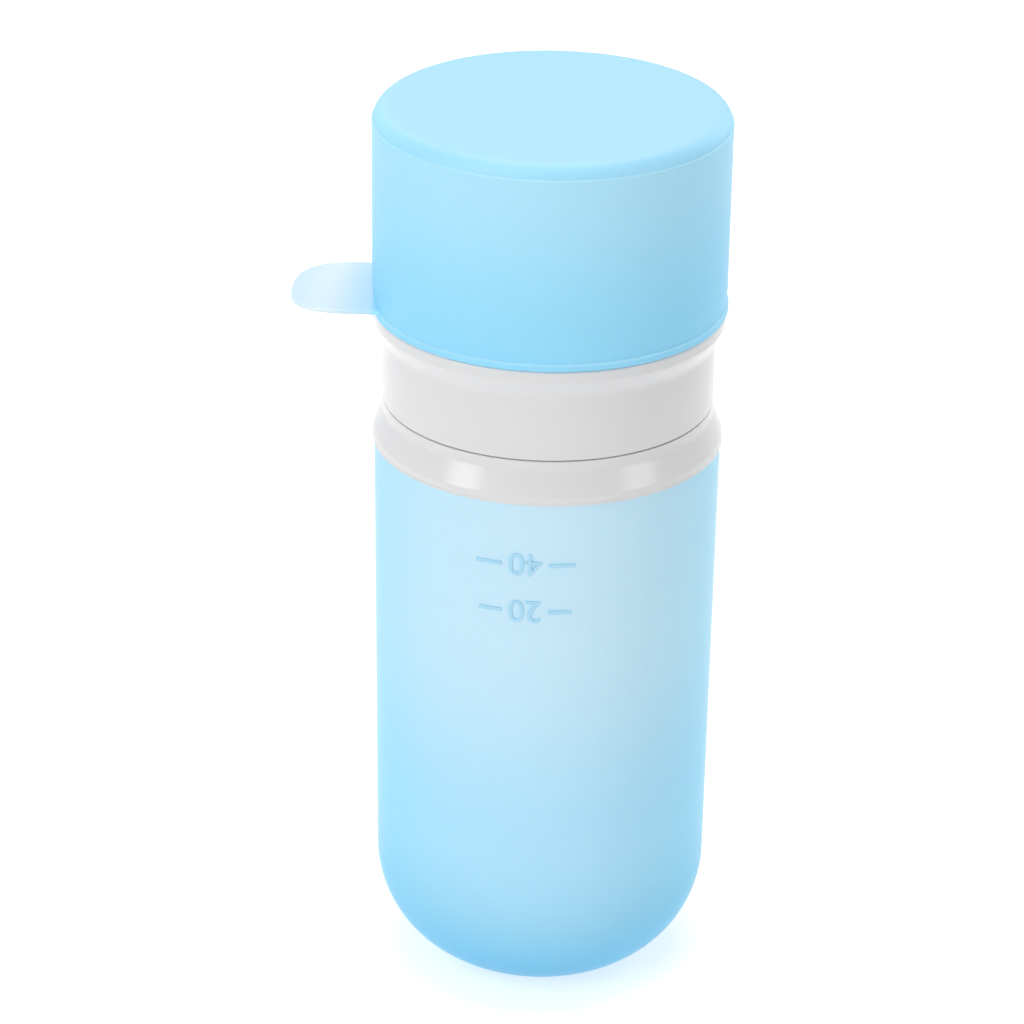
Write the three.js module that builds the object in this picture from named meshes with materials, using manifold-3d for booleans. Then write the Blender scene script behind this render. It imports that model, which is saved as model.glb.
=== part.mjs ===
// Refillable roll-on bottle: a squeeze body of soft silicone, a rigid screw neck, a screw-on roller
// head and a pull-off silicone cap with a thin pull tab at its rim.
// Millimetres, +Z up. The origin is the centre of the flat under the body, and the tab points to -X.
import * as THREE from 'three';
import { mergeVertices } from 'three/addons/utils/BufferGeometryUtils.js';
import Module from 'manifold-3d';

const wasm = await Module();
wasm.setup();

// Facets round each turned piece, and in a quarter of a rounded edge
const FACETS = 36;
const ARC_STEPS = 3;

// Clearances: between seated or sliding pieces, in a snug fit, and at a pressed face
const GAP = 0.3;
const FIT = 0.2;
const SEAT = 0.1;

// Body
const BODY_RADIUS = 19.8;
const BODY_HEIGHT = 67;
const BODY_TAPER = 0.35;
const BODY_WALL = 2;
const BASE_WALL = 2.4;
const BASE_FILLET = 13.5;
const SHOULDER_FILLET = 0.6;
const INNER_SHOULDER_FILLET = 1.5;

// Silicone neck and its bead
const SHOULDER_WIDTH = 3;
const NECK_WALL = 1.8;
const BEAD_PROUD = 0.7;
const BEAD_HEIGHT = 0.9;

// Rigid collar round the neck
const COLLAR_PROUD = 0.2;
const COLLAR_LEDGE = 1.3;
const COLLAR_LIP = 0.7;
const COLLAR_LIP_CATCH = 0.6;
const COLLAR_UPRIGHT = 1.2;
const COLLAR_SLOPE_HEIGHT = 1.05;
const COLLAR_SLOPE_STEP = 0.43;
const COLLAR_BELT_HEIGHT = 0.65;
const COLLAR_FOOT_ROUND = 0.35;

// Threaded neck insert
const SLEEVE_WALL = 1.55;
const SLEEVE_REACH = 1.2;
const FLANGE_THICKNESS = 1;
const SPOUT_STEP = 0.7;
const SPOUT_CHAMFER = 0.4;

// Screw thread, one ridge on the spout and one in the head
const THREAD_PITCH = 4.2;
const THREAD_DEPTH = 0.85;
const THREAD_CLEARANCE = 0.4;
const THREAD_END_MARGIN = 1.2;
const THREAD_FLANK = 0.35;
const THREAD_SINK = 0.4;
const THREAD_FADE_STEPS = 2;

// Screw head
const HEAD_HEIGHT = 10.75;
const SKIRT_WALL = 2.12;
const SKIRT_EDGE = 0.25;
const FLARE_HEIGHT = 2;
const FLARE_BEND = 1.3;
const LIP_STEP = 0.1;
const LIP_HEIGHT = 1.3;
const LIP_EDGE = 0.3;
const FLOOR_THICKNESS = 1.6;
const CUP_WALL = 1.6;
const GASKET_THICKNESS = 1.2;

// Ball and the rings that hold it
const BALL_PLAY = 0.25;
const BALL_RISE = 6.55;
const BALL_GRIP = 4.6;
const SEAT_WALL = 1.25;
const FLOOR_CLEARANCE = 0.5;
const FEED_SLOTS = 4;
const FEED_WIDTH = 2;
const FEED_DEPTH = 0.4;
const RETAINER_FLANGE = 0.9;
const RETAINER_EDGE = 0.45;

// Cap, its seal ring and its tab
const CAP_WALL = 2.4;
const CAP_TOP_WALL = 2.2;
const CAP_EDGE = 2.3;
const CAP_INNER_FILLET = 1;
const RIM_HEIGHT = 1.1;
const RIM_PROUD = 0.15;
const SEAL_ROOM = 0.9;
const SEAL_RADIUS = 6;
const SEAL_WIDTH = 2;
const SEAL_GROOVE = 0.8;
const TAB_LENGTH = 9.2;
const TAB_WIDTH = 15.2;
const TAB_THICKNESS = 0.8;
const TAB_DROOP = 0.8;
const TAB_SINK = 1.2;
const TAB_STEPS = 10;

// Radii, from the body inwards to the ball
const neckOuter = BODY_RADIUS - SHOULDER_WIDTH;
const neckInner = neckOuter - NECK_WALL;
const beadRadius = neckOuter + BEAD_PROUD;
const sleeveRadius = neckInner - FIT;
const boreRadius = sleeveRadius - SLEEVE_WALL;
const spoutRadius = sleeveRadius + SPOUT_STEP;
const skirtBore = spoutRadius + THREAD_DEPTH + THREAD_CLEARANCE;
const bandRadius = skirtBore + SKIRT_WALL;
const collarRadius = BODY_RADIUS + COLLAR_PROUD;
const capRadius = collarRadius;
const capBore = capRadius - CAP_WALL;
const cupRadius = capBore - GAP;
const cupBore = cupRadius - CUP_WALL;
const seatRadius = cupBore - FIT;
const socketRadius = seatRadius - SEAT_WALL;
const ballRadius = socketRadius - BALL_PLAY;
const lipRadius = capRadius - LIP_STEP;

// Heights in the bottle's frame, from the shoulder up
const collarZ = BODY_HEIGHT + GAP;
const ledgeZ = collarZ + COLLAR_LEDGE;
const beadZ = ledgeZ + GAP;
const neckTop = beadZ + BEAD_HEIGHT;
const flangeZ = neckTop + GAP;
const flangeTop = flangeZ + FLANGE_THICKNESS;
const collarLipZ = flangeTop + FIT;
const collarTop = collarLipZ + COLLAR_LIP;
const headZ = collarTop + GAP;

// Heights in the head's frame, which starts at the skirt's lower edge
const floorUnderside = HEAD_HEIGHT - FLOOR_THICKNESS;
const gasketTop = floorUnderside - SEAT;
const gasketZ = gasketTop - GASKET_THICKNESS;
const spoutTop = gasketZ - SEAT;
const ballZ = HEAD_HEIGHT + BALL_RISE;
const cupTop = ballZ + BALL_GRIP;

// Heights in the cap's frame, which starts at its rim
const capZ = headZ + HEAD_HEIGHT + GAP;
const ballInCap = headZ + ballZ - capZ;
const capUnderside = ballInCap + ballRadius + SEAL_ROOM;
const capHeight = capUnderside + CAP_TOP_WALL;

// The two thread ridges share one helix; the head's runs just under the spout's
const ridgeWidth = THREAD_PITCH / 2 - 2 * GAP;
const spoutRidgeZ = headZ + ridgeWidth + THREAD_END_MARGIN;
const spoutRidgeTurns = (headZ + spoutTop - THREAD_END_MARGIN - spoutRidgeZ) / THREAD_PITCH;
const headRidgeDrop = ridgeWidth + GAP;

function material(colour, roughness) {
  return new THREE.MeshStandardMaterial({ color: new THREE.Color(colour), roughness, metalness: 0 });
}

const MATERIALS = {
  bodySilicone: material('#c2e4f6', 0.5),
  capSilicone: material('#a5def9', 0.5),
  sealSilicone: material('#e9eef2', 0.6),
  whitePlastic: material('#e8e8ea', 0.35),
  ballPlastic: material('#f4f4f2', 0.15),
};

// Merges shared corners and drops the triangles that collapse on the axis
function closed(geometry) {
  geometry.deleteAttribute('normal');
  geometry.deleteAttribute('uv');
  const merged = mergeVertices(geometry, 1e-4);
  const corners = Array.from(merged.index.array);
  const kept = [];
  for (let i = 0; i < corners.length; i += 3) {
    const [a, b, c] = corners.slice(i, i + 3);
    if (a !== b && b !== c && c !== a) {
      kept.push(a, b, c);
    }
  }
  merged.setIndex(kept);
  return merged;
}

// Revolves [radius, height] points, counter-clockwise round the section, about Z
function turned(points) {
  const profile = points.map(([radius, height]) => new THREE.Vector2(radius, height));
  return closed(new THREE.LatheGeometry(profile, FACETS).rotateX(Math.PI / 2));
}

// A turned ring: its section closes on itself
function turnedRing(points) {
  return turned([...points, points[0]]);
}

// Points of an arc about a centre in the section, from one angle to another in degrees
function arc(radius, height, size, from, to, steps = ARC_STEPS) {
  const points = [];
  for (let i = 0; i <= steps; i += 1) {
    const angle = THREE.MathUtils.degToRad(from + ((to - from) * i) / steps);
    points.push([radius + size * Math.cos(angle), height + size * Math.sin(angle)]);
  }
  return points;
}

// Joins a row of sections, each with as many corners, into a closed skin with flat ends
function lofted(sections) {
  const size = sections[0].length;
  const positions = sections.flat(2);
  const faces = [];
  for (let row = 0; row + 1 < sections.length; row += 1) {
    for (let i = 0; i < size; i += 1) {
      const a = row * size + i;
      const b = row * size + ((i + 1) % size);
      faces.push(a, b, b + size, a, b + size, a + size);
    }
  }
  const last = (sections.length - 1) * size;
  for (let i = 1; i + 1 < size; i += 1) {
    faces.push(0, i + 1, i, last, last + i, last + i + 1);
  }
  const geometry = new THREE.BufferGeometry();
  geometry.setAttribute('position', new THREE.Float32BufferAttribute(positions, 3));
  geometry.setIndex(faces);
  return mergeVertices(geometry, 1e-4);
}

function toSolid(geometry) {
  const vertProperties = new Float32Array(geometry.attributes.position.array);
  const triVerts = new Uint32Array(geometry.index.array);
  return new wasm.Manifold(new wasm.Mesh({ numProp: 3, vertProperties, triVerts }));
}

function toGeometry(solid) {
  const mesh = solid.getMesh();
  const geometry = new THREE.BufferGeometry();
  geometry.setAttribute('position', new THREE.Float32BufferAttribute(mesh.vertProperties, 3));
  geometry.setIndex(Array.from(mesh.triVerts));
  return geometry;
}

// One thread ridge: a trapezoid on a helix, buried in its wall and sinking into it at both ends.
// Its corners lie half a facet round from the wall's own.
function threadRidge(wall, crest, startZ, firstStep, lastStep) {
  const sink = Math.sign(wall - crest) * THREAD_SINK;
  const root = wall + sink;
  const sections = [];
  for (let step = firstStep; step <= lastStep; step += 1) {
    const angle = (2 * Math.PI * (step + 0.5)) / FACETS;
    const ends = Math.min(step - firstStep, lastStep - step);
    const fade = Math.min(1, (ends + 0.2) / THREAD_FADE_STEPS);
    const tip = root + (crest - root) * fade;
    const z = startZ + (THREAD_PITCH * step) / FACETS;
    const corner = (radius, half) => [radius * Math.sin(angle), -radius * Math.cos(angle), z + half];
    const half = ridgeWidth / 2;
    const crestHalf = half - THREAD_FLANK;
    const upwards = [corner(root, -half), corner(tip, -crestHalf), corner(tip, crestHalf), corner(root, half)];
    sections.push(crest > wall ? upwards.reverse() : upwards);
  }
  return lofted(sections);
}

function ballSectionRadius(height, radius) {
  return Math.sqrt(radius ** 2 - height ** 2);
}

function bodyShape() {
  const lowRadius = BODY_RADIUS - BODY_TAPER;
  const fillet = Math.min(BASE_FILLET, lowRadius - SHOULDER_FILLET);
  const flat = lowRadius - fillet;
  const innerFillet = fillet - BODY_WALL;
  const innerTop = BODY_RADIUS - BODY_WALL;
  const innerShoulder = BODY_HEIGHT - BODY_WALL;
  return turned([
    [0, 0],
    ...arc(flat, fillet, fillet, -90, 0, 8),
    ...arc(BODY_RADIUS - SHOULDER_FILLET, BODY_HEIGHT - SHOULDER_FILLET, SHOULDER_FILLET, 0, 90),
    [neckOuter, BODY_HEIGHT],
    [neckOuter, beadZ],
    [beadRadius, beadZ],
    [beadRadius, neckTop],
    [neckInner, neckTop],
    [neckInner, innerShoulder],
    ...arc(innerTop - INNER_SHOULDER_FILLET, innerShoulder - INNER_SHOULDER_FILLET, INNER_SHOULDER_FILLET, 90, 0, 2),
    ...arc(flat, BASE_WALL + innerFillet, innerFillet, 0, -90, 6),
    [0, BASE_WALL],
  ]);
}

function insertShape() {
  const top = headZ + spoutTop;
  const tube = turnedRing([
    [boreRadius, BODY_HEIGHT - SLEEVE_REACH],
    [sleeveRadius, BODY_HEIGHT - SLEEVE_REACH],
    [sleeveRadius, flangeZ],
    [beadRadius, flangeZ],
    [beadRadius, flangeTop],
    [spoutRadius, flangeTop],
    [spoutRadius, top - SPOUT_CHAMFER],
    [spoutRadius - SPOUT_CHAMFER, top],
    [boreRadius, top],
  ]);
  const steps = Math.floor(spoutRidgeTurns * FACETS);
  const ridge = threadRidge(spoutRadius, spoutRadius + THREAD_DEPTH, spoutRidgeZ, 0, steps);
  return toGeometry(toSolid(tube).add(toSolid(ridge)));
}

function collarShape() {
  const foot = COLLAR_FOOT_ROUND;
  const recess = beadRadius + FIT;
  const lip = beadRadius - COLLAR_LIP_CATCH;
  const topEdge = Math.max(bandRadius, recess + COLLAR_LIP);
  const uprightZ = collarTop - COLLAR_UPRIGHT;
  return turnedRing([
    [neckOuter + FIT, collarZ],
    [collarRadius - foot, collarZ],
    [collarRadius, collarZ + foot],
    [collarRadius, collarZ + COLLAR_BELT_HEIGHT],
    [topEdge + COLLAR_SLOPE_STEP, uprightZ - COLLAR_SLOPE_HEIGHT],
    [topEdge, uprightZ],
    [topEdge, collarTop],
    [lip, collarTop],
    [lip, collarLipZ],
    [recess, collarLipZ],
    [recess, ledgeZ],
    [neckOuter + FIT, ledgeZ],
  ]);
}

function floorOpening() {
  return ballSectionRadius(BALL_RISE, socketRadius + FLOOR_CLEARANCE);
}

function gasketShape() {
  const inner = Math.max(boreRadius, floorOpening()) + FIT;
  const outer = spoutRadius - SPOUT_CHAMFER;
  return turnedRing([[inner, gasketZ], [outer, gasketZ], [outer, gasketTop], [inner, gasketTop]]);
}

function headShape() {
  const flareZ = HEAD_HEIGHT - LIP_HEIGHT - FLARE_HEIGHT;
  const flare = [0, 0.5, 1].map((t) => [
    bandRadius + (lipRadius - bandRadius) * t ** FLARE_BEND,
    flareZ + FLARE_HEIGHT * t,
  ]);
  const shell = turnedRing([
    [skirtBore + SKIRT_EDGE, 0],
    ...arc(bandRadius - SKIRT_EDGE, SKIRT_EDGE, SKIRT_EDGE, -90, 0, 2),
    ...flare,
    [lipRadius, HEAD_HEIGHT - LIP_EDGE],
    [lipRadius - LIP_EDGE, HEAD_HEIGHT],
    [cupRadius, HEAD_HEIGHT],
    [cupRadius, cupTop],
    [cupBore, cupTop],
    [cupBore, HEAD_HEIGHT],
    [floorOpening(), HEAD_HEIGHT],
    [floorOpening(), floorUnderside],
    [skirtBore, floorUnderside],
    [skirtBore, SKIRT_EDGE],
  ]);
  const startZ = spoutRidgeZ - headZ - headRidgeDrop;
  const lowestZ = SKIRT_EDGE + GAP + ridgeWidth / 2;
  const firstStep = Math.ceil(((lowestZ - startZ) / THREAD_PITCH) * FACETS);
  const lastStep = Math.floor(spoutRidgeTurns * FACETS);
  const ridge = threadRidge(skirtBore, spoutRadius + THREAD_CLEARANCE, startZ, firstStep, lastStep);
  return toGeometry(toSolid(shell).add(toSolid(ridge)));
}

// The lower half of the socket, with feed slots that let the lotion rise past the ball
function seatShape() {
  const low = HEAD_HEIGHT + SEAT;
  const lowAngle = -THREE.MathUtils.radToDeg(Math.asin((ballZ - low) / socketRadius));
  const highAngle = -THREE.MathUtils.radToDeg(Math.asin(GAP / socketRadius));
  const ring = turnedRing([
    [seatRadius, low],
    [seatRadius, ballZ - GAP],
    ...arc(0, ballZ, socketRadius, highAngle, lowAngle, 4),
  ]);
  const reach = socketRadius + FEED_DEPTH;
  let solid = toSolid(ring);
  for (let i = 0; i < FEED_SLOTS; i += 1) {
    const slot = new THREE.BoxGeometry(reach, FEED_WIDTH, 2 * BALL_RISE);
    slot.translate(reach / 2, 0, ballZ - BALL_RISE / 2);
    slot.rotateZ((2 * Math.PI * (i + 0.5)) / FEED_SLOTS);
    solid = solid.subtract(toSolid(closed(slot)));
  }
  return toGeometry(solid);
}

// The upper half of the socket, a snap ring with a flange over the cup's rim
function retainerShape() {
  const low = ballZ + GAP;
  const flangeLow = cupTop + SEAT;
  const top = flangeLow + RETAINER_FLANGE;
  const lowAngle = THREE.MathUtils.radToDeg(Math.asin(GAP / socketRadius));
  const highAngle = THREE.MathUtils.radToDeg(Math.asin((flangeLow - ballZ) / socketRadius));
  const lipRadiusAtTop = ballSectionRadius(flangeLow - ballZ, socketRadius);
  return turnedRing([
    [seatRadius, low],
    [seatRadius, flangeLow],
    [cupRadius, flangeLow],
    ...arc(cupRadius - RETAINER_EDGE, top - RETAINER_EDGE, RETAINER_EDGE, 0, 90, 2),
    [lipRadiusAtTop + RETAINER_FLANGE, top],
    ...arc(0, ballZ, socketRadius, highAngle, lowAngle, 4),
  ]);
}

function ballShape() {
  return closed(new THREE.SphereGeometry(ballRadius, FACETS, FACETS / 2));
}

// A thin tongue off the cap's rim, with a round end and a slight droop
function tabShape() {
  const rootX = capRadius - TAB_SINK;
  const length = TAB_LENGTH + TAB_SINK;
  const endLength = TAB_WIDTH / 2;
  const sections = [];
  for (let i = 0; i <= TAB_STEPS; i += 1) {
    const run = length * Math.sin((i / TAB_STEPS) * (Math.PI / 2));
    const intoEnd = Math.max(0, run - (length - endLength)) / endLength;
    const halfWidth = (TAB_WIDTH / 2) * Math.max(0.2, (1 - intoEnd ** 2.4) ** (1 / 2.4));
    const drop = -TAB_DROOP * (run / length) ** 2;
    const x = -(rootX + run);
    sections.push([
      [x, -halfWidth, drop],
      [x, -halfWidth, drop + TAB_THICKNESS],
      [x, halfWidth, drop + TAB_THICKNESS],
      [x, halfWidth, drop],
    ]);
  }
  return lofted(sections);
}

function sealEdges() {
  return [SEAL_RADIUS - SEAL_WIDTH / 2, SEAL_RADIUS + SEAL_WIDTH / 2];
}

function capShape() {
  const [inner, outer] = sealEdges();
  const rim = capRadius + RIM_PROUD;
  const grooveTop = capUnderside + SEAL_GROOVE;
  const shell = turned([
    [0, capUnderside],
    [inner - SEAT, capUnderside],
    [inner - SEAT, grooveTop],
    [outer + SEAT, grooveTop],
    [outer + SEAT, capUnderside],
    ...arc(capBore - CAP_INNER_FILLET, capUnderside - CAP_INNER_FILLET, CAP_INNER_FILLET, 90, 0, 2),
    [capBore, 0],
    [rim, 0],
    [rim, RIM_HEIGHT - RIM_PROUD],
    [capRadius, RIM_HEIGHT],
    ...arc(capRadius - CAP_EDGE, capHeight - CAP_EDGE, CAP_EDGE, 0, 90, 4),
    [0, capHeight],
  ]);
  return toGeometry(toSolid(shell).add(toSolid(tabShape())));
}

// A soft ring in the cap's ceiling that presses on the ball
function sealShape() {
  const [inner, outer] = sealEdges();
  const top = capUnderside + SEAL_GROOVE - SEAT;
  const reach = ballRadius + GAP;
  return turnedRing([
    [inner, ballInCap + ballSectionRadius(inner, reach)],
    [outer, ballInCap + ballSectionRadius(outer, reach)],
    [outer, top],
    [inner, top],
  ]);
}

function piece(name, geometry, look) {
  geometry.computeVertexNormals();
  const mesh = new THREE.Mesh(geometry, look);
  mesh.name = name;
  return mesh;
}

const bottle = new THREE.Group();
bottle.add(piece('bottle_body', bodyShape(), MATERIALS.bodySilicone));
bottle.add(piece('neck_insert', insertShape(), MATERIALS.whitePlastic));
bottle.add(piece('neck_collar', collarShape(), MATERIALS.whitePlastic));

const ball = piece('roller_ball', ballShape(), MATERIALS.ballPlastic);
ball.position.z = ballZ;

const head = new THREE.Group();
head.position.z = headZ;
head.add(piece('head_gasket', gasketShape(), MATERIALS.sealSilicone));
head.add(piece('head_collar', headShape(), MATERIALS.whitePlastic));
head.add(piece('ball_seat', seatShape(), MATERIALS.whitePlastic));
head.add(piece('ball_retainer', retainerShape(), MATERIALS.whitePlastic));
head.add(ball);

const cap = new THREE.Group();
cap.position.z = capZ;
cap.add(piece('cap_shell', capShape(), MATERIALS.capSilicone));
cap.add(piece('cap_seal', sealShape(), MATERIALS.sealSilicone));

const rollOnBottle = new THREE.Group();
rollOnBottle.name = 'roll_on_bottle';
rollOnBottle.add(bottle, head, cap);

export default rollOnBottle;
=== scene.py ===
"""Finishes the roll-on bottle: fine turned pieces, frosted silicone and satin white plastic.

The file is laid out as an add-on and run as a script. Sizes are in metres, in the bottle's own frame:
+Z up its axis, the pull tab towards -X and the moulded marks towards -Y.
"""
import math

import bpy
from bpy.props import FloatProperty, FloatVectorProperty, IntProperty, PointerProperty
from mathutils import Matrix, Vector


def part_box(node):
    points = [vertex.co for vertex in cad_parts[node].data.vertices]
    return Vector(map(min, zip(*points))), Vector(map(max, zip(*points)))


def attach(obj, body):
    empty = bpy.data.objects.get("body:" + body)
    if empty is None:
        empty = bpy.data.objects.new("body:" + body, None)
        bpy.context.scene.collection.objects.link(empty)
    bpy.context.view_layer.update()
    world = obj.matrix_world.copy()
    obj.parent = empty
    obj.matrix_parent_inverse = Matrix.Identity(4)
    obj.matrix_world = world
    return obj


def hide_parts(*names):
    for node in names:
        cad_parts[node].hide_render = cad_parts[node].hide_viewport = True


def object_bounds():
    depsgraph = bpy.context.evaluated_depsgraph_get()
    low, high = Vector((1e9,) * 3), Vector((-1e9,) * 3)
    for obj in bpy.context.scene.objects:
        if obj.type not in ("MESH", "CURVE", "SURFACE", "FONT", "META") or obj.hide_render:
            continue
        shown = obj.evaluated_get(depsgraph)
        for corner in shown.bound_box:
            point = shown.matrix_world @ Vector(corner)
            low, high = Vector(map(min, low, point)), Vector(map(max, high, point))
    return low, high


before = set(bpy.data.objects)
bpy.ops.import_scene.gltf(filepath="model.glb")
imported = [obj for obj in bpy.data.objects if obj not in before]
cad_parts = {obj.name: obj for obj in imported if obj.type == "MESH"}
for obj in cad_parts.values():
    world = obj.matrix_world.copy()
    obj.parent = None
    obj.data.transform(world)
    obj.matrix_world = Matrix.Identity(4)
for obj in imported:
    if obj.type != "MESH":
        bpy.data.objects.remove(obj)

bl_info = {
    "name": "Roll-on bottle finish",
    "version": (1, 0, 0),
    "blender": (4, 5, 0),
    "location": "3D View > Sidebar > Bottle",
    "description": "Builds the finished surfaces of a roll-on bottle round its fixed frame",
    "category": "Object",
}

CAD_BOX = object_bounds()
MM = 0.001

# Meshes: the widest turn and the longest chord in an arc, the angle from which an edge stays crisp,
# the most of an edge that a corner's rounding may take, and two distances that count as none.
ARC_STEP = math.radians(7)
ARC_CHORD = 0.45 * MM
SHARP_ANGLE = math.radians(40)
CORNER_REACH = 0.98
ONE_POINT = 1e-7
SAME_WALL = 1e-6

# Roundings of moulded edges, from the crispest to the widest.
HAIR = 0.02 * MM
CRISP = 0.05 * MM
FINE = 0.1 * MM
NEAT = 0.15 * MM
PLAIN = 0.2 * MM
BEADED = 0.25 * MM
SMOOTH = 0.3 * MM
SOFT = 0.4 * MM
BLUNT = 0.5 * MM
WIDE = 1 * MM
SWEPT = 1.5 * MM

# Roundings that one place alone has.
COLLAR_EDGE = 0.12 * MM
BELT_ROUND = 1.2 * MM
FLARE_ROUND = 2.2 * MM

# The level marks: the lower row's width and the space beside a number, as shares.
LOWER_ROW = 0.94
NUMBER_SPACE = 0.3

# The threads: the share of a turn in which a ridge fades, the steepness of its flanks, the plain wall that
# is left beyond its ends on the spout and in the head, and the height of a row of facets.
THREAD_FADE = 0.06
THREAD_STEEPNESS = 2.2
SPOUT_RUN_OUT = 1.2 * MM
HEAD_RUN_IN = 0.9 * MM
HEAD_RUN_OUT = 2.6 * MM
THREAD_ROW = 0.14 * MM

# The tab's round end: a power of 2 makes it an ellipse, and more makes it fuller.
TAB_FULLNESS = 2.7

# Places where the silicone's colours are reached: heights over the base, the drop from the cap's top, the
# distance out from the cap's side and the depth in its wall.
# Most of these set painted shade and light: the body darker low down, the cap darker in its corner and
# towards its rim and lighter on top, and the tab darker at its root.
BODY_LOW_HEIGHT = 23 * MM
BODY_PALE_HEIGHT = 50 * MM
CAP_TOP_FADE = 0.5 * MM
TAB_PALE_REACH = 5 * MM
TAB_ROOT_DEPTH = 1.2 * MM

# Roughness of the smoothest and the roughest grains of each finish, and of the silicone's clear skin.
FROSTED = (0.46, 0.56)
SATIN = (0.42, 0.52)
MOULDED = (0.17, 0.25)
MILKY = (0.5, 0.62)
POLISHED = (0.08, 0.14)
FROSTED_SKIN = 0.3
SATIN_SKIN = 0.5

# The stage: the floor's half width and its drop under the base, the camera's sensor in millimetres and its
# near limit, and each lamp's power setting, width and place.
FLOOR_HALF = 0.7
FLOOR_DROP = 0.05 * MM
SENSOR = 36
NEAR_LIMIT = 0.01
LAMPS = (
    ("key", 0.33, (-0.632, -0.53, 0.259)),
    ("fill", 0.31, (0.683, -0.304, 0.239)),
    ("front", 0.5, (-0.306, -0.531, 0.567)),
    ("back_left", 0.5, (-0.489, 0.583, 0.3)),
    ("back_right", 0.5, (0.489, 0.583, 0.3)),
    ("top", 0.6, (0, 0.05, 0.8)),
)

# Low and high corners of the boxes of the frame's nodes.
BODY_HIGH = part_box("bottle_body")[1]
INSERT_LOW, INSERT_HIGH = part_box("neck_insert")
COLLAR_LOW, COLLAR_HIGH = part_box("neck_collar")
GASKET_LOW, GASKET_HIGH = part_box("head_gasket")
HEAD_LOW, HEAD_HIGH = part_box("head_collar")
SEAT_LOW, SEAT_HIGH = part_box("ball_seat")
RETAINER_LOW, RETAINER_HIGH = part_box("ball_retainer")
BALL_LOW, BALL_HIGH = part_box("roller_ball")
CAP_LOW, CAP_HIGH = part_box("cap_shell")
SEAL_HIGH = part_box("cap_seal")[1]


def size(name, description, default):
    """A length, in metres."""
    return FloatProperty(name=name, description=description, default=default, unit="LENGTH", precision=5)


def share(name, description, default):
    """A part of a whole, 0 to 1."""
    return FloatProperty(name=name, description=description, default=default, min=0, max=1, subtype="FACTOR")


def angle(name, description, degrees):
    """An angle, given in degrees."""
    return FloatProperty(name=name, description=description, default=math.radians(degrees), subtype="ANGLE")


def colour(name, description, default):
    """A colour in linear light."""
    return FloatVectorProperty(
        name=name, description=description, default=default, size=3, min=0, max=1, subtype="COLOR"
    )


def power(name, description, default):
    """A lamp's power, in watts."""
    return FloatProperty(name=name, description=description, default=default, min=0, unit="POWER")


def srgb(red, green, blue):
    """A colour as a picture shows it, 0 to 255, as linear light."""
    def linear(value):
        value /= 255
        return value / 12.92 if value <= 0.04045 else ((value + 0.055) / 1.055) ** 2.4
    return (linear(red), linear(green), linear(blue))


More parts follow.
